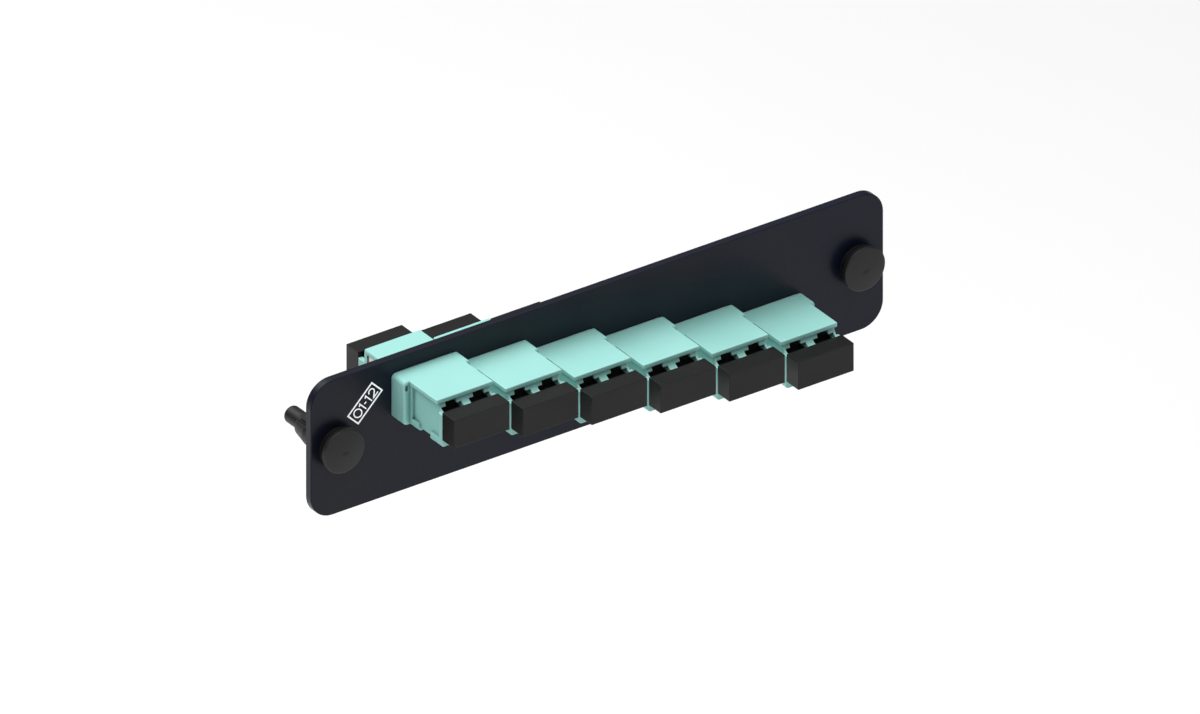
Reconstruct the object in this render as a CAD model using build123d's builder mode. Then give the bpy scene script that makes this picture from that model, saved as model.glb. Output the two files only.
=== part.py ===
from build123d import *
import os
from math import sqrt

# Fibre adapter pack: a steel front plate with a stepped row of duplex adapters,
# a two-way dust plug in every opening and a push-pull latch at each end.
# Millimetres. The origin is the middle of the plate's back face, X runs along the
# plate and Z up. "Forward" distances are measured from that face towards the front, -Y.

# Plate
plate_length = 130.3
plate_height = 29.0
plate_thickness = 1.6
plate_corner_radius = 5.0
plate_edge_round = 0.2

# Row of adapters, numbered from the left; each sits one drop lower than the last
adapter_count = 6
flange_gap = 0.4
adapter_drop = 2.667

# Adapter openings
port_pitch = 6.25
port_width = 4.6
port_height = 5.9
keyway_width = 2.45
keyway_height = 0.96

# Adapter walls
side_wall = 0.43
side_recess = 0.5
roof_thickness = 0.89
roof_overhang = 0.05
front_roof_edge_round = 0.15
rear_roof_edge_round = 0.35
front_roof_corner_round = 0.15
rear_roof_corner_round = 0.3
floor_thickness = 1.05
foot_height = 0.6
foot_side_height = 1.6
body_corner_radius = 0.6
lip_corner_round = 0.2
collar_depth = 0.8
front_band_depth = 1.1
front_ledge_drop = 0.55
rear_ledge_drop = 1.07
front_eave = 0.25
rear_eave = 0.05
front_scoop_radius = 1.4
rear_scoop_radius = 0.45

# Adapter lengths from the plate
front_reach = 14.57
front_roof_setback = 1.59
rear_reach = 11.1
rear_roof_setback = 2.0
front_foot_length = 3.77
rear_foot_length = 2.95
flange_foot_length = 2.9

# Adapter flange
flange_side = 1.28
flange_depth = 4.1
flange_corner_radius = 0.9
flange_edge_round = 0.5
dimple_width = 0.6
dimple_height = 1.2
dimple_depth = 0.4
dimple_below_top = 1.4

# Alignment sleeves and their barrels
ferrule_above_floor = 2.35
sleeve_length = 6.8
sleeve_radius = 0.81
sleeve_wall = 0.18
sleeve_slit = 0.25
sleeve_clearance = 0.08
sleeve_end_gap = 0.1
barrel_wall = 0.42
barrel_lip = 0.5
barrel_lip_radius = 0.7
septum_thickness = 0.9

# Retaining clips
clip_thickness = 0.25
clip_side_gap = 0.02
clip_end_gap = 0.15
clip_below_roof = 0.3
tongue_height = 3.6
tongue_spread = 1.0
tongue_root = 1.6

# Dust plugs
plug_depth = 3.85
plug_side_cover = 0.9
plug_edge_cover = 0.05
plug_edge_round = 0.1
plug_seat_gap = 0.05
prong_length = 6.5
prong_clearance = 0.1
prong_drop = 1.17
prong_lead_in = 0.4
key_drop = 0.76
key_setback = 0.55

# Latches
latch_spacing = 118.5
stem_radius = 1.78
stem_length = 15.0
stem_tip_round = 0.6
stem_clearance = 0.15
head_radius = 4.6
head_thickness = 0.9
head_dome = 0.35
head_rim_round = 0.3
head_back_round = 0.1
head_gap = 0.15
latch_flange_radius = 4.0
latch_flange_thickness = 1.5
latch_flange_round = 0.4
shoulder_radius = 3.4
shoulder_length = 0.3
barrel_radius = 3.2
barrel_length = 5.2
nose_length = 3.6
nose_radius = 2.45
nose_tip_round = 0.3
leg_slot_width = 0.8
leg_slot_root = 1.2
leg_slot_turns = (45, 135)
latch_hole_clearance = 0.15
cutout_clearance = 0.1

# Port number box, printed on the plate
ink_thickness = 0.04
ink_line = 0.3
ink_stroke = 0.24
ink_box_length = 7.95
ink_box_height = 3.6
ink_box_x = -52.85
ink_box_z = 7.1
ink_tilt = 45
digit_height = 2.2
zero_width = 1.9
two_width = 1.5
two_hook_start = 170
two_hook_sweep = -210
one_flag = 0.45
dash_length = 0.55
zero_centre = -2.3
first_one_centre = -0.7
dash_centre = 0.1
second_one_centre = 1.15
two_centre = 2.45

cut_margin = 1.0

# Heights on an adapter, measured from its middle
housing_height = foot_height + floor_thickness + port_height + keyway_height + roof_thickness
housing_top = housing_height / 2
housing_bottom = -housing_top
belly = housing_bottom + foot_height
foot_side_top = housing_bottom + foot_side_height
port_floor = belly + floor_thickness
port_ceiling = port_floor + port_height
keyway_ceiling = port_ceiling + keyway_height
ferrule_height = port_floor + ferrule_above_floor

# Widths on an adapter
panel_width = port_pitch + port_width + 2 * side_wall
body_width = panel_width + 2 * side_recess
roof_width = body_width + 2 * roof_overhang
flange_width = body_width + 2 * flange_side
cutout_width = roof_width + 2 * cutout_clearance
cutout_height = housing_height + 2 * cutout_clearance
adapter_pitch = flange_width + flange_gap

# Forward places on an adapter
joining_face = plate_thickness
flange_face = joining_face + flange_depth
front_lip = joining_face + front_reach
front_roof_edge = front_lip - front_roof_setback
rear_lip = -rear_reach
rear_roof_edge = rear_lip + rear_roof_setback
rear_foot_start = rear_lip + rear_foot_length

# Alignment sleeve seats
sleeve_seat_radius = sleeve_radius + sleeve_clearance
sleeve_seat_depth = sleeve_length / 2 + sleeve_end_gap
port_barrel_radius = sleeve_seat_radius + barrel_wall
port_barrel_length = sleeve_seat_depth + barrel_lip

# Planes: side_view has forward to its right, plan_view has forward up the page
side_view = Plane(origin=(0, 0, 0), x_dir=(0, -1, 0), z_dir=(-1, 0, 0))
plan_view = Plane(origin=(0, 0, 0), x_dir=(1, 0, 0), z_dir=(0, 0, -1))


def facing(forward):
    """Plane parallel to the plate at a forward distance, extruding forward."""
    return Plane.XZ.offset(forward)


def window(left, right, low, high):
    """Rectangle between two places and two heights on the sketch in hand."""
    with Locations(((left + right) / 2, (low + high) / 2)):
        Rectangle(abs(right - left), abs(high - low))


def roof_slab(way, roof_edge, corner_round, edge_round):
    """Flat roof from the joining face to its edge, with the open corners and the rim rounded."""
    with BuildPart() as roof:
        with BuildSketch(facing(joining_face)):
            window(-roof_width / 2, roof_width / 2, keyway_ceiling, housing_top)
        extrude(amount=roof_edge - joining_face)
        open_end = roof.faces().sort_by(Axis.Y)[0 if way > 0 else -1]
        fillet(open_end.edges().filter_by(Axis.Z), corner_round)
        rim = roof.faces().sort_by(Axis.Z)[-1].edges().sort_by(Axis.Y, reverse=way < 0)[:-1]
        fillet(rim, edge_round)
    return roof.part


def housing_half(
    way, lip, roof, mouth, ledge_top, scoop_radius, collar_end, band_start, foot_start, collar_foot_end
):
    """Ports, walls, roof and feet from the joining face to one lip; way is 1 forward, -1 to the rear."""
    beyond = lip + way * cut_margin
    arc_depth = scoop_radius * (1 - 1 / sqrt(2))
    port_centres = [(-port_pitch / 2, ferrule_height), (port_pitch / 2, ferrule_height)]
    with BuildPart() as half:
        with BuildSketch(facing(joining_face)):
            window(-body_width / 2, body_width / 2, housing_bottom, keyway_ceiling)
        extrude(amount=lip - joining_face)
        fillet(half.edges().filter_by(Axis.Y).group_by(Axis.Z)[0], body_corner_radius)
        lip_corners = half.edges().filter_by(Axis.Z).group_by(Axis.Y)[0 if way > 0 else -1]
        fillet(lip_corners, lip_corner_round)

        # Recessed side panels between the collar, the feet and the band round the lip
        for side in (-1, 1):
            with BuildSketch(side_view.offset(-side * panel_width / 2)):
                window(collar_end, band_start, foot_side_top, keyway_ceiling)
                window(collar_foot_end, foot_start, housing_bottom, foot_side_top)
            extrude(amount=-side * side_recess, mode=Mode.SUBTRACT)

        # Raised belly between the feet
        with BuildSketch(side_view):
            window(collar_foot_end, foot_start, housing_bottom, belly)
        extrude(amount=body_width, both=True, mode=Mode.SUBTRACT)

        # Hollow scoop over the ledge, in front of the flat mouth under the roof
        with BuildSketch(side_view):
            with BuildLine():
                mouth_top = (mouth, keyway_ceiling)
                arc_top = (mouth, ledge_top + scoop_radius)
                arc_middle = (mouth + way * arc_depth, ledge_top + arc_depth)
                arc_foot = (mouth + way * scoop_radius, ledge_top)
                ThreePointArc(arc_top, arc_middle, arc_foot)
                Polyline(arc_foot, (beyond, ledge_top), (beyond, keyway_ceiling), mouth_top, arc_top)
            make_face()
        extrude(amount=body_width, both=True, mode=Mode.SUBTRACT)
        add(roof)

        # Two openings, each with a latch keyway under the roof
        with BuildSketch(facing(joining_face + way * septum_thickness)):
            for port_x in (-port_pitch / 2, port_pitch / 2):
                window(port_x - port_width / 2, port_x + port_width / 2, port_floor, port_ceiling)
                window(port_x - keyway_width / 2, port_x + keyway_width / 2, port_ceiling, keyway_ceiling)
        extrude(amount=beyond - joining_face - way * septum_thickness, mode=Mode.SUBTRACT)

        # Barrels that hold the alignment sleeves
        with BuildSketch(facing(joining_face)):
            with Locations(port_centres):
                Circle(port_barrel_radius)
        extrude(amount=way * port_barrel_length)
        with BuildSketch(facing(joining_face)):
            with Locations(port_centres):
                Circle(sleeve_seat_radius)
        extrude(amount=way * sleeve_seat_depth, mode=Mode.SUBTRACT)
        with BuildSketch(facing(joining_face)):
            with Locations(port_centres):
                Circle(barrel_lip_radius)
        extrude(amount=way * (port_barrel_length + cut_margin), mode=Mode.SUBTRACT)
    return half.part


def dust_plug(way, lip, roof_edge):
    """Block over both openings, with two keyed prongs inside them; way is 1 forward, -1 to the rear."""
    seat = lip + way * plug_seat_gap
    prong_end = lip - way * prong_length
    key_start = roof_edge - way * key_setback
    block_half = port_pitch / 2 + port_width / 2 + plug_side_cover
    prong_half = port_width / 2 - prong_clearance
    key_half = keyway_width / 2 - prong_clearance
    prong_bottom = port_floor + prong_clearance
    prong_top = port_ceiling - prong_drop
    with BuildPart() as plug:
        with BuildSketch(facing(seat)):
            window(-block_half, block_half, port_floor - plug_edge_cover, port_ceiling + plug_edge_cover)
        extrude(amount=way * plug_depth)
        fillet(plug.edges(), plug_edge_round)
        for port_x in (-port_pitch / 2, port_pitch / 2):
            with BuildSketch(facing(seat)):
                window(port_x - prong_half, port_x + prong_half, prong_bottom, prong_top)
            extrude(amount=prong_end - seat)
        tips = plug.faces().sort_by(Axis.Y, reverse=way < 0)[-2:]
        chamfer([edge for tip in tips for edge in tip.edges()], prong_lead_in)
        for port_x in (-port_pitch / 2, port_pitch / 2):
            with BuildSketch(facing(key_start)):
                window(port_x - key_half, port_x + key_half, prong_top - key_drop, keyway_ceiling - key_drop)
            extrude(amount=prong_end + way * prong_lead_in - key_start)
    return plug.part


# Front half of an adapter, with the flange that lies on the plate
front_half = housing_half(
    way=1,
    lip=front_lip,
    roof=roof_slab(1, front_roof_edge, front_roof_corner_round, front_roof_edge_round),
    mouth=front_roof_edge - front_eave,
    ledge_top=port_ceiling - front_ledge_drop,
    scoop_radius=front_scoop_radius,
    collar_end=flange_face + collar_depth,
    band_start=front_lip - front_band_depth,
    foot_start=front_lip - front_foot_length,
    collar_foot_end=flange_face + flange_foot_length,
)
with BuildPart() as front_housing:
    with BuildSketch(facing(joining_face)):
        RectangleRounded(flange_width, housing_height, flange_corner_radius)
    extrude(amount=flange_depth)
    fillet(front_housing.faces().sort_by(Axis.Y)[0].edges(), flange_edge_round)
    with BuildSketch(facing(joining_face)):
        window(-panel_width / 2, panel_width / 2, belly, keyway_ceiling)
    extrude(amount=flange_depth, mode=Mode.SUBTRACT)
    add(front_half)
    with BuildSketch(facing(flange_face)):
        dimple_x = roof_width / 2 + flange_side / 2
        dimple_z = housing_top - dimple_below_top
        with Locations((-dimple_x, dimple_z), (dimple_x, dimple_z)):
            SlotOverall(dimple_height, dimple_width, rotation=90)
    extrude(amount=-dimple_depth, mode=Mode.SUBTRACT)

# Rear half of an adapter, which passes through the plate
rear_housing = housing_half(
    way=-1,
    lip=rear_lip,
    roof=roof_slab(-1, rear_roof_edge, rear_roof_corner_round, rear_roof_edge_round),
    mouth=rear_roof_edge + rear_eave,
    ledge_top=port_ceiling - rear_ledge_drop,
    scoop_radius=rear_scoop_radius,
    collar_end=-collar_depth,
    band_start=rear_foot_start,
    foot_start=rear_foot_start,
    collar_foot_end=-collar_depth,
)

# Split ceramic sleeve that lines up two ferrules
with BuildPart() as sleeve:
    with BuildSketch(facing(joining_face - sleeve_length / 2)):
        Circle(sleeve_radius)
        Circle(sleeve_radius - sleeve_wall, mode=Mode.SUBTRACT)
        with Locations((0, sleeve_radius)):
            Rectangle(sleeve_slit, sleeve_radius, mode=Mode.SUBTRACT)
    extrude(amount=sleeve_length)

# Steel clip round the rear half, with a tongue each side that bears on the plate
clip_inner = panel_width / 2 + clip_side_gap
clip_outer = clip_inner + clip_thickness
clip_front = -collar_depth - clip_end_gap
clip_back = rear_foot_start + clip_end_gap
tongue_start = clip_back + tongue_root
clip_floor = belly - clip_side_gap
clip_top = keyway_ceiling - clip_below_roof
with BuildPart() as clip:
    with BuildSketch(facing(clip_back)):
        with Locations((0, (clip_top + clip_floor - clip_thickness) / 2)):
            Rectangle(2 * clip_outer, clip_top - clip_floor + clip_thickness)
        with Locations((0, (clip_top + clip_floor) / 2)):
            Rectangle(2 * clip_inner, clip_top - clip_floor, mode=Mode.SUBTRACT)
    extrude(amount=clip_front - clip_back)
    with BuildSketch(side_view):
        window(tongue_start, clip_front, -tongue_height / 2, tongue_height / 2)
    extrude(amount=body_width, both=True, mode=Mode.SUBTRACT)
    for side in (-1, 1):
        with BuildSketch(plan_view.offset(-tongue_height / 2)):
            with BuildLine():
                Polyline(
                    (side * clip_inner, tongue_start - clip_thickness),
                    (side * clip_outer, tongue_start - clip_thickness),
                    (side * clip_outer, tongue_start),
                    (side * (clip_outer + tongue_spread), 0),
                    (side * (clip_inner + tongue_spread), 0),
                    (side * clip_inner, tongue_start),
                    close=True,
                )
            make_face()
        extrude(amount=tongue_height)

# Plate, cut out for the adapters and drilled for the latches
latch_places = [(-latch_spacing / 2, 0), (latch_spacing / 2, 0)]
adapter_places = []
for number in range(adapter_count):
    from_middle = number - (adapter_count - 1) / 2
    adapter_places.append((from_middle * adapter_pitch, -from_middle * adapter_drop))
with BuildPart() as plate:
    with BuildSketch(facing(0)):
        RectangleRounded(plate_length, plate_height, plate_corner_radius)
        with Locations(latch_places):
            Circle(shoulder_radius + latch_hole_clearance, mode=Mode.SUBTRACT)
        with Locations(adapter_places):
            Rectangle(cutout_width, cutout_height, mode=Mode.SUBTRACT)
    extrude(amount=plate_thickness)
    front_face = plate.faces().sort_by(Axis.Y)[0]
    fillet(front_face.outer_wire().edges(), plate_edge_round)
plate.part.label = "adapter_plate"

# Number box and its digits, lying on the plate as thin ink
ink_plane = Plane(
    origin=(ink_box_x, -plate_thickness, ink_box_z),
    x_dir=Vector(1, 0, 0).rotate(Axis.Y, -ink_tilt),
    z_dir=(0, -1, 0),
)
half_digit = digit_height / 2
two_radius = two_width / 2
with BuildPart() as print_ink:
    with BuildSketch(ink_plane):
        Rectangle(ink_box_length, ink_box_height)
        Rectangle(ink_box_length - 2 * ink_line, ink_box_height - 2 * ink_line, mode=Mode.SUBTRACT)
    extrude(amount=ink_thickness)
    with BuildSketch(ink_plane):
        with Locations((zero_centre, 0)):
            Ellipse(zero_width / 2, half_digit)
            Ellipse(zero_width / 2 - ink_stroke, half_digit - ink_stroke, mode=Mode.SUBTRACT)
        with Locations((dash_centre, 0)):
            Rectangle(dash_length, ink_stroke)
    extrude(amount=ink_thickness)
    for one_centre in (first_one_centre, second_one_centre):
        with BuildSketch(ink_plane):
            with BuildLine():
                Polyline(
                    (one_centre - one_flag, half_digit - one_flag),
                    (one_centre, half_digit - ink_stroke / 2),
                    (one_centre, -half_digit),
                )
            trace(line_width=ink_stroke)
        extrude(amount=ink_thickness)
    with BuildSketch(ink_plane):
        with BuildLine():
            hook_centre = (two_centre, half_digit - two_radius)
            hook = CenterArc(hook_centre, two_radius - ink_stroke / 2, two_hook_start, two_hook_sweep)
            Polyline(
                hook @ 1,
                (two_centre - two_radius + ink_stroke / 2, -half_digit + ink_stroke / 2),
                (two_centre + two_radius, -half_digit + ink_stroke / 2),
            )
        trace(line_width=ink_stroke)
    extrude(amount=ink_thickness)
print_ink.part.label = "port_number_print"

# Latch grommet: a rim on the plate, a shoulder in its hole and four legs behind it
latch_rim = plate_thickness + latch_flange_thickness
leg_end = -barrel_length - nose_length
with BuildPart() as grommet:
    with BuildSketch(plan_view):
        with BuildLine():
            Polyline(
                (stem_radius + stem_clearance, latch_rim),
                (latch_flange_radius, latch_rim),
                (latch_flange_radius, plate_thickness),
                (shoulder_radius, plate_thickness),
                (shoulder_radius, -shoulder_length),
                (barrel_radius, -shoulder_length),
                (barrel_radius, -barrel_length),
                (nose_radius, leg_end),
                (stem_radius + stem_clearance, leg_end),
                close=True,
            )
        make_face()
    revolve(axis=Axis.Y)
    fillet(grommet.faces().sort_by(Axis.Y)[0].outer_wire().edges(), latch_flange_round)
    fillet(grommet.faces().sort_by(Axis.Y)[-1].outer_wire().edges(), nose_tip_round)
    with BuildSketch(facing(-leg_slot_root)):
        for turn in leg_slot_turns:
            Rectangle(2 * barrel_radius + cut_margin, leg_slot_width, rotation=turn)
    extrude(amount=leg_end - cut_margin, mode=Mode.SUBTRACT)

# Latch plunger: a low domed head in front of the rim and a pin that spreads the legs
head_back = latch_rim + head_gap
head_rim = head_back + head_thickness
head_top = head_rim + head_dome
stem_end = plate_thickness - stem_length
dome_radius = (head_radius**2 + head_dome**2) / (2 * head_dome)
half_way_height = head_top - dome_radius + sqrt(dome_radius**2 - (head_radius / 2) ** 2)
with BuildPart() as plunger:
    with BuildSketch(plan_view):
        with BuildLine():
            Polyline(
                (0, head_top),
                (0, stem_end),
                (stem_radius, stem_end),
                (stem_radius, head_back),
                (head_radius, head_back),
                (head_radius, head_rim),
            )
            ThreePointArc((head_radius, head_rim), (head_radius / 2, half_way_height), (0, head_top))
        make_face()
    revolve(axis=Axis.Y)
    rings = plunger.edges().filter_by(lambda edge: edge.is_closed).sort_by(Axis.Y)
    fillet(rings[0], head_rim_round)
    fillet(rings[1], head_back_round)
    fillet(rings[-1], stem_tip_round)

front_plug = dust_plug(1, front_lip, front_roof_edge)
rear_plug = dust_plug(-1, rear_lip, rear_roof_edge)

os.makedirs("parts", exist_ok=True)
export_step(plate.part, "parts/adapter_plate.step")
export_step(print_ink.part, "parts/port_number_print.step")


def place(piece, name, x, z):
    """Write a copy of a piece, moved along the plate and up."""
    copy = piece.moved(Location((x, 0, z)))
    copy.label = name
    export_step(copy, f"parts/{name}.step")


for side, (x, z) in zip(("left", "right"), latch_places):
    place(grommet.part, f"{side}_latch_grommet", x, z)
    place(plunger.part, f"{side}_latch_plunger", x, z)

for number, (x, z) in enumerate(adapter_places, start=1):
    place(front_housing.part, f"front_housing_{number}", x, z)
    place(rear_housing, f"rear_housing_{number}", x, z)
    place(clip.part, f"retaining_clip_{number}", x, z)
    place(sleeve.part, f"left_sleeve_{number}", x - port_pitch / 2, z + ferrule_height)
    place(sleeve.part, f"right_sleeve_{number}", x + port_pitch / 2, z + ferrule_height)
    place(front_plug, f"front_dust_plug_{number}", x, z)
    place(rear_plug, f"rear_dust_plug_{number}", x, z)
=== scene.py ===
import math

import bpy
from mathutils import Euler, Matrix, Vector


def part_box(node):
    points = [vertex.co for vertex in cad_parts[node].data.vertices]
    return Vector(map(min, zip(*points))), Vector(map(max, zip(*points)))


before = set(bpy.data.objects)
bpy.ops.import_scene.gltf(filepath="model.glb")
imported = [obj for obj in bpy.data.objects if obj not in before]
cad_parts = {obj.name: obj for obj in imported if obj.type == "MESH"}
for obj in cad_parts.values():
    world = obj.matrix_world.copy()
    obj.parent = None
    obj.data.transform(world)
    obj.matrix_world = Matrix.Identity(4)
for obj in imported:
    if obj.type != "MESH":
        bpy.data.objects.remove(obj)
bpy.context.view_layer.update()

# Camera: a parallel view, in degrees and metres. The picture's middle is a little to the right
# of the middle of the plate's front and below it.
VIEW_AZIMUTH = -35
VIEW_ELEVATION = 30
VIEW_WIDTH = 0.22371
MIDDLE_RIGHT_OF_PLATE = 0.000527
MIDDLE_BELOW_PLATE = 0.00039
CAMERA_DISTANCE = 0.6

# Floor, in metres, and sky, whose strength runs from the horizon to overhead
FLOOR_LEVEL = -0.16
FLOOR_SIZE = 6.0
SKY_AT_HORIZON = 0.05
SKY_OVERHEAD = 1.12
SKY_FALLOFF = 2.0

# Colours, in linear light
WHITE = (1.0, 1.0, 1.0, 1)
COAT_BLACK = (0.0075, 0.0080, 0.0165, 1)
COAT_BLUE_BLACK = (0.0050, 0.0074, 0.0205, 1)
COAT_FLECK = (0.030, 0.031, 0.036, 1)
COAT_RUBBED = (0.036, 0.038, 0.046, 1)
# Painted shade, in corners and on edges that face down
AQUA_PAINTED_SHADE = (0.09, 0.26, 0.25, 1)
BLACK_PAINTED_SHADE = (0.0030, 0.0030, 0.0032, 1)
# Painted highlight on the latch's edges
NYLON_RIM_HIGHLIGHT = (0.046, 0.046, 0.048, 1)
STEEL_GREY = (0.60, 0.60, 0.58, 1)
STEEL_PALE = (0.78, 0.78, 0.75, 1)
STEEL_SCRATCHED = (0.90, 0.90, 0.88, 1)
CERAMIC_CREAM = (0.86, 0.84, 0.78, 1)
CERAMIC_WHITE = (0.93, 0.92, 0.88, 1)
INK_GREY = (0.86, 0.87, 0.88, 1)
INK_WHITE = (0.97, 0.97, 0.97, 1)
INK_THIN = (0.62, 0.63, 0.65, 1)
# Painted glow of the ink, which is no lamp
INK_PAINTED_GLOW = (0.92, 0.95, 1.0, 1)
PAPER_PALE = (0.97, 0.97, 0.97, 1)
PAPER_WHITE = (0.99, 0.99, 0.99, 1)

# Cosine of the angle between the rounded normal and the face, off an edge and on it
EDGE_LEAN = (0.98, 0.85)
EDGE_SAMPLES = 4
# Share of the light that reaches deep into a corner and the open, and how far off a wall counts
CREVICE_LIGHT = (0.45, 0.95)
CREVICE_REACH = 0.0012
CREVICE_SAMPLES = 6
# Z of the rounded normal on an edge that faces down and on one that faces up, for the painted light
# on edges
EDGE_FACING_UP = (-0.35, 0.10)
# Most of a noise's values lie between these
MOST_NOISE = (0.3, 0.7)
# Which way a seed moves a pattern
SEED_DIRECTION = (1.0, 0.7, -1.0)


class Nodes:
    """The nodes of one tree."""

    def __init__(self, tree):
        self.tree = tree

    def put(self, socket, value):
        """Link a socket to another node's output, or set it."""
        if isinstance(value, bpy.types.NodeSocket):
            self.tree.links.new(value, socket)
        else:
            socket.default_value = value

    def add(self, kind, sockets=(), **settings):
        """Add a node, with its settings made first and then its sockets."""
        node = self.tree.nodes.new(kind)
        for key, value in settings.items():
            setattr(node, key, value)
        for key, value in dict(sockets).items():
            self.put(node.inputs[key], value)
        return node

    def span(self, value, limits, onto=(0.0, 1.0)):
        """Map a value between two limits onto another range, clamped."""
        low, high = limits
        to_low, to_high = onto
        sockets = {
            "Value": value,
            "From Min": low,
            "From Max": high,
            "To Min": to_low,
            "To Max": to_high,
        }
        return self.add("ShaderNodeMapRange", sockets).outputs["Result"]

    def maths(self, operation, a, b):
        return self.add("ShaderNodeMath", {0: a, 1: b}, operation=operation).outputs["Value"]


class Shader(Nodes):
    """The nodes of one new material, which lead to its Principled BSDF."""

    def __init__(self, name):
        self.material = bpy.data.materials.new(name)
        self.material.use_nodes = True
        super().__init__(self.material.node_tree)
        self.surface = self.tree.nodes["Principled BSDF"]
        self.place = self.add("ShaderNodeTexCoord").outputs["Object"]

    def noise(self, scale, detail, roughness=0.5, stretch=(1, 1, 1), seed=0.0):
        """Noise from 0 to 1; the scale is in features per metre."""
        start = tuple(seed * part for part in SEED_DIRECTION)
        mapping = self.add(
            "ShaderNodeMapping",
            {"Vector": self.place, "Scale": stretch, "Location": start},
        )
        noise = self.add(
            "ShaderNodeTexNoise",
            {
                "Vector": mapping.outputs["Vector"],
                "Scale": scale,
                "Detail": detail,
                "Roughness": roughness,
            },
        )
        return noise.outputs["Fac"]

    def mix(self, factor, a, b):
        """Blend of two colours."""
        sockets = {"Factor": factor, "A": a, "B": b}
        return self.add("ShaderNodeMix", sockets, data_type="RGBA").outputs["Result"]

    def share(self, mask, part):
        """The mask held down to a part of its strength."""
        return self.maths("MULTIPLY", mask, part)

    def soft_edges(self, radius):
        """Normals that round every sharp edge by a small radius."""
        return self.add("ShaderNodeBevel", {"Radius": radius}, samples=EDGE_SAMPLES).outputs["Normal"]

    def edge_mask(self, rounded):
        """1 on a sharp edge and 0 away from it, from how far the rounded normal leans."""
        face = self.add("ShaderNodeNewGeometry").outputs["True Normal"]
        lean = self.add("ShaderNodeVectorMath", {0: rounded, 1: face}, operation="DOT_PRODUCT")
        return self.span(lean.outputs["Value"], EDGE_LEAN)

    def upward(self, rounded):
        """1 on an edge that faces up and 0 on one that faces down."""
        height = self.add("ShaderNodeSeparateXYZ", {"Vector": rounded}).outputs["Z"]
        return self.span(height, EDGE_FACING_UP)

    def painted_corner_shade(self):
        """Mask for painted shade: 1 deep in a narrow corner and 0 in the open, from how closed in the
        surface is.
        """
        node = self.add(
            "ShaderNodeAmbientOcclusion",
            {"Distance": CREVICE_REACH},
            samples=CREVICE_SAMPLES,
            only_local=True,
        )
        return self.span(node.outputs["AO"], CREVICE_LIGHT, onto=(1.0, 0.0))

    def bump(self, height, depth, normal=None):
        """Normals over a height pattern of a given depth, on top of other normals if given."""
        sockets = {"Height": height, "Strength": 1.0, "Distance": depth}
        if normal is not None:
            sockets["Normal"] = normal
        return self.add("ShaderNodeBump", sockets).outputs["Normal"]

    def finish(self, colour, roughness, normal, **constants):
        """Lead the patterns to the surface and set its other sockets, named with underscores."""
        self.put(self.surface.inputs["Base Color"], colour)
        self.put(self.surface.inputs["Roughness"], roughness)
        self.put(self.surface.inputs["Normal"], normal)
        for name, value in constants.items():
            self.surface.inputs[name.replace("_", " ")].default_value = value
        return self.material


def powder_coat():
    """Near-black coat with a fine orange-peel skin, rubbed on its edges."""
    s = Shader("powder coat")
    edges = s.soft_edges(radius=0.00015)
    cloud = s.span(s.noise(28, detail=2.0), limits=(0.35, 0.65))
    grain = s.noise(2600, detail=2.0, seed=3.0)
    peel = s.noise(900, detail=3.0, seed=1.0)
    fleck = s.span(grain, limits=(0.60, 0.75))
    wear_and_light_patches = s.span(s.noise(260, detail=4.0, seed=5.0), limits=(0.40, 0.7), onto=(0.05, 0.5))
    rub = s.maths("MULTIPLY", s.edge_mask(edges), wear_and_light_patches)
    base = s.mix(cloud, COAT_BLACK, COAT_BLUE_BLACK)
    base = s.mix(s.share(fleck, part=0.25), base, COAT_FLECK)
    base = s.mix(rub, base, COAT_RUBBED)
    rough = s.span(s.noise(75, detail=4.0, seed=2.0), limits=MOST_NOISE, onto=(0.28, 0.38))
    normal = s.bump(peel, depth=0.000014, normal=s.bump(grain, depth=0.000005, normal=edges))
    return s.finish(base, rough, normal, Specular_IOR_Level=0.21)


def moulded(
    name,
    light,
    dark,
    upper_edge_painted_light,
    lower_edge_painted_light,
    corner_shade_colour,
    rough,
    edge_round,
    edge_light_width,
    skin_depth,
    **constants,
):
    """Moulded plastic: cloudy colour, fine spark-eroded skin, painted highlight and painted shade on
    its edges, and painted shade in its corners.
    """
    s = Shader(name)
    edges = s.soft_edges(edge_round)
    wide_edges = s.soft_edges(edge_light_width)
    cloud = s.span(s.noise(55, detail=3.0, seed=4.0), limits=MOST_NOISE)
    flow = s.noise(160, detail=3.0, roughness=0.6, stretch=(1, 0.12, 1), seed=6.0)
    streak = s.span(flow, limits=(0.35, 0.7))
    grain = s.noise(3800, detail=2.0, seed=7.0)
    wear_and_light_patches = s.span(s.noise(420, detail=4.0, seed=8.0), limits=MOST_NOISE, onto=(0.5, 0.9))
    # Painted light on edges, broken into patches by a noise: edges that face up take the upper colour
    # and edges that face down the lower one
    edge_light = s.maths("MULTIPLY", s.edge_mask(wide_edges), wear_and_light_patches)
    edge_light_colour = s.mix(s.upward(wide_edges), lower_edge_painted_light, upper_edge_painted_light)
    base = s.mix(cloud, light, dark)
    base = s.mix(s.share(streak, part=0.35), base, dark)
    base = s.mix(edge_light, base, edge_light_colour)
    # Painted shade in corners, from how closed in the surface is
    base = s.mix(s.share(s.painted_corner_shade(), part=0.9), base, corner_shade_colour)
    roughness = s.span(s.noise(120, detail=4.0, seed=9.0), limits=MOST_NOISE, onto=rough)
    return s.finish(base, roughness, s.bump(grain, skin_depth, edges), **constants)


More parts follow.
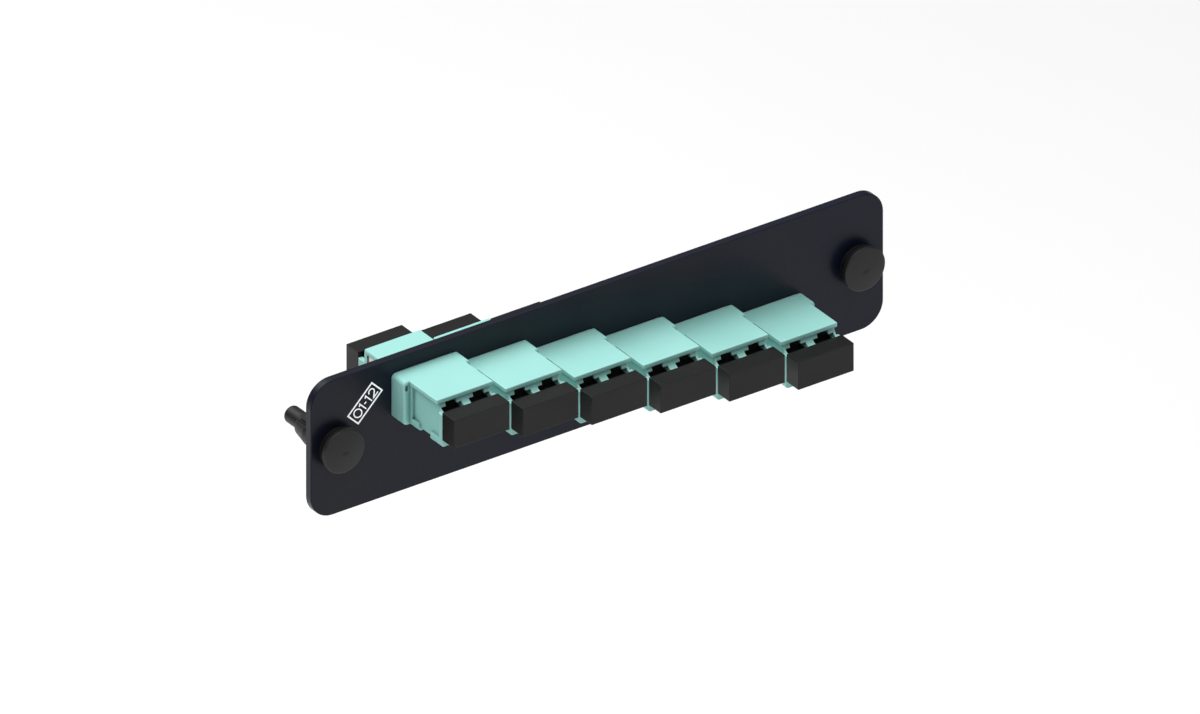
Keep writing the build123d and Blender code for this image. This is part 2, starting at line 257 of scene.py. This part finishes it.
def aqua_housing():
    """Aqua plastic that lets a little light through, with a painted highlight on edges that face up
    and painted shade on edges that face down and in corners.
    """
    return moulded(
        "aqua housing",
        light=(0.362, 0.735, 0.682, 1),
        dark=(0.334, 0.700, 0.645, 1),
        # Painted highlight on edges that face up, painted shade on edges that face down and in
        # corners
        upper_edge_painted_light=(0.62, 0.94, 0.90, 1),
        lower_edge_painted_light=AQUA_PAINTED_SHADE,
        corner_shade_colour=AQUA_PAINTED_SHADE,
        rough=(0.36, 0.50),
        edge_round=0.0002,
        edge_light_width=0.0004,
        skin_depth=0.000006,
        Specular_IOR_Level=0.45,
        Subsurface_Weight=0.12,
        Subsurface_Scale=0.0006,
        Subsurface_Radius=(0.6, 1.0, 1.0),
    )


def soft_plug():
    """Soft black plastic with a dull skin, a painted highlight on edges that face up and painted
    shade on edges that face down and in corners.
    """
    return moulded(
        "dust plug",
        light=(0.0085, 0.0085, 0.0085, 1),
        dark=(0.0065, 0.0065, 0.0067, 1),
        # Painted highlight on edges that face up, painted shade on edges that face down and in
        # corners
        upper_edge_painted_light=(0.018, 0.018, 0.018, 1),
        lower_edge_painted_light=BLACK_PAINTED_SHADE,
        corner_shade_colour=BLACK_PAINTED_SHADE,
        rough=(0.38, 0.50),
        edge_round=0.0001,
        edge_light_width=0.0001,
        skin_depth=0.000008,
        Specular_IOR_Level=0.28,
    )


def latch_nylon():
    """Black nylon with a painted highlight on its edges all round, and painted shade in corners."""
    return moulded(
        "latch nylon",
        light=(0.0090, 0.0090, 0.0094, 1),
        dark=(0.0070, 0.0070, 0.0074, 1),
        # Painted highlight on all its edges, painted shade in corners
        upper_edge_painted_light=NYLON_RIM_HIGHLIGHT,
        lower_edge_painted_light=NYLON_RIM_HIGHLIGHT,
        corner_shade_colour=BLACK_PAINTED_SHADE,
        rough=(0.44, 0.54),
        edge_round=0.0001,
        edge_light_width=0.0006,
        skin_depth=0.000006,
        Specular_IOR_Level=0.40,
    )


def steel():
    """Stamped stainless strip with a rolled grain and a few fine scratches."""
    s = Shader("stamped stainless")
    edges = s.soft_edges(radius=0.00006)
    rolled = s.noise(900, detail=4.0, roughness=0.6, stretch=(0.06, 1, 1), seed=1.5)
    lines = s.noise(2400, detail=2.0, stretch=(1, 0.03, 0.6), seed=2.5)
    scratch = s.span(lines, limits=(0.62, 0.72))
    base = s.mix(rolled, STEEL_GREY, STEEL_PALE)
    base = s.mix(s.share(scratch, part=0.5), base, STEEL_SCRATCHED)
    grain_rough = s.span(rolled, limits=MOST_NOISE, onto=(0.36, 0.50))
    rough = s.maths("ADD", grain_rough, s.share(scratch, part=0.12))
    return s.finish(base, rough, s.bump(rolled, depth=0.000004, normal=edges), Metallic=0.75)


def ceramic():
    """Ground ceramic with faint lines round the sleeve."""
    s = Shader("ground ceramic")
    lines = s.noise(5200, detail=2.0, stretch=(0.02, 1, 0.02), seed=1.2)
    base = s.mix(lines, CERAMIC_CREAM, CERAMIC_WHITE)
    rough = s.span(lines, limits=MOST_NOISE, onto=(0.16, 0.28))
    return s.finish(base, rough, s.bump(lines, depth=0.000002))


def ink():
    """White screen ink, a little thin and mottled, with a painted glow that brightens it."""
    s = Shader("screen ink")
    mottle = s.noise(1900, detail=4.0, seed=2.2)
    thin = s.span(s.noise(650, detail=3.0, seed=3.3), limits=(0.58, 0.80), onto=(0.0, 0.35))
    base = s.mix(mottle, INK_GREY, INK_WHITE)
    base = s.mix(thin, base, INK_THIN)
    rough = s.span(mottle, limits=MOST_NOISE, onto=(0.50, 0.68))
    return s.finish(
        base,
        rough,
        s.bump(mottle, depth=0.000006),
        Specular_IOR_Level=0.3,
        # Painted glow, which brightens the ink though it is no lamp
        Emission_Color=INK_PAINTED_GLOW,
        Emission_Strength=0.45,
    )


def floor_paper():
    """White paper with a faint tooth."""
    s = Shader("floor paper")
    base = s.mix(s.noise(9, detail=2.0), PAPER_PALE, PAPER_WHITE)
    tooth = s.bump(s.noise(700, detail=2.0), depth=0.00001)
    return s.finish(base, roughness=0.9, normal=tooth, Specular_IOR_Level=0.1)


def dress(obj, material):
    obj.data.materials.clear()
    obj.data.materials.append(material)


# The material of each node, by a word in the node's name
looks = {
    "adapter_plate": powder_coat(),
    "port_number_print": ink(),
    "housing": aqua_housing(),
    "dust_plug": soft_plug(),
    "latch": latch_nylon(),
    "clip": steel(),
    "sleeve": ceramic(),
}
for name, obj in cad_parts.items():
    dress(obj, next(look for word, look in looks.items() if word in name))

# Pale floor far below the part
bpy.ops.mesh.primitive_plane_add(size=FLOOR_SIZE, location=(0, 0, FLOOR_LEVEL))
floor = bpy.context.object
floor.name = "floor"
dress(floor, floor_paper())


def area_light(name, place, size, watts):
    """Square light aimed at the middle of the part, which is the frame's origin."""
    data = bpy.data.lights.new(name, "AREA")
    data.size = size
    data.energy = watts
    light = bpy.data.objects.new(name, data)
    light.location = place
    light.rotation_euler = (-Vector(place)).to_track_quat("-Z", "Y").to_euler()
    bpy.context.scene.collection.objects.link(light)


area_light("top light", place=(-0.15, 0.21, 0.58), size=0.7, watts=4.1)
area_light("front light", place=(0.30, -0.62, 0.10), size=0.5, watts=0.3)

# White sky, bright overhead and dim towards the horizon
world = bpy.data.worlds.new("studio")
world.use_nodes = True
sky = Nodes(world.node_tree)
towards = sky.add("ShaderNodeTexCoord").outputs["Generated"]
slope = sky.add("ShaderNodeSeparateXYZ", {"Vector": towards}).outputs["Z"]
height = sky.maths("POWER", sky.maths("MAXIMUM", slope, 0.0), SKY_FALLOFF)
strength = sky.span(height, limits=(0.0, 1.0), onto=(SKY_AT_HORIZON, SKY_OVERHEAD))
backdrop = sky.tree.nodes["Background"]
sky.put(backdrop.inputs["Color"], WHITE)
sky.put(backdrop.inputs["Strength"], strength)
bpy.context.scene.world = world
bpy.context.scene.view_settings.view_transform = "Standard"

# Camera, aimed from the middle of the plate's front face
camera_data = bpy.data.cameras.new("camera")
camera_data.type = "ORTHO"
camera_data.ortho_scale = VIEW_WIDTH
camera = bpy.data.objects.new("camera", camera_data)
bpy.context.scene.collection.objects.link(camera)
lowest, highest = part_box("adapter_plate")
middle = (lowest + highest) / 2
plate_front = Vector((middle.x, lowest.y, middle.z))
turn = Euler((math.radians(90 - VIEW_ELEVATION), 0.0, math.radians(VIEW_AZIMUTH))).to_matrix()
eye = plate_front + turn @ Vector((MIDDLE_RIGHT_OF_PLATE, -MIDDLE_BELOW_PLATE, CAMERA_DISTANCE))
camera.matrix_world = Matrix.Translation(eye) @ turn.to_4x4()
bpy.context.scene.camera = camera
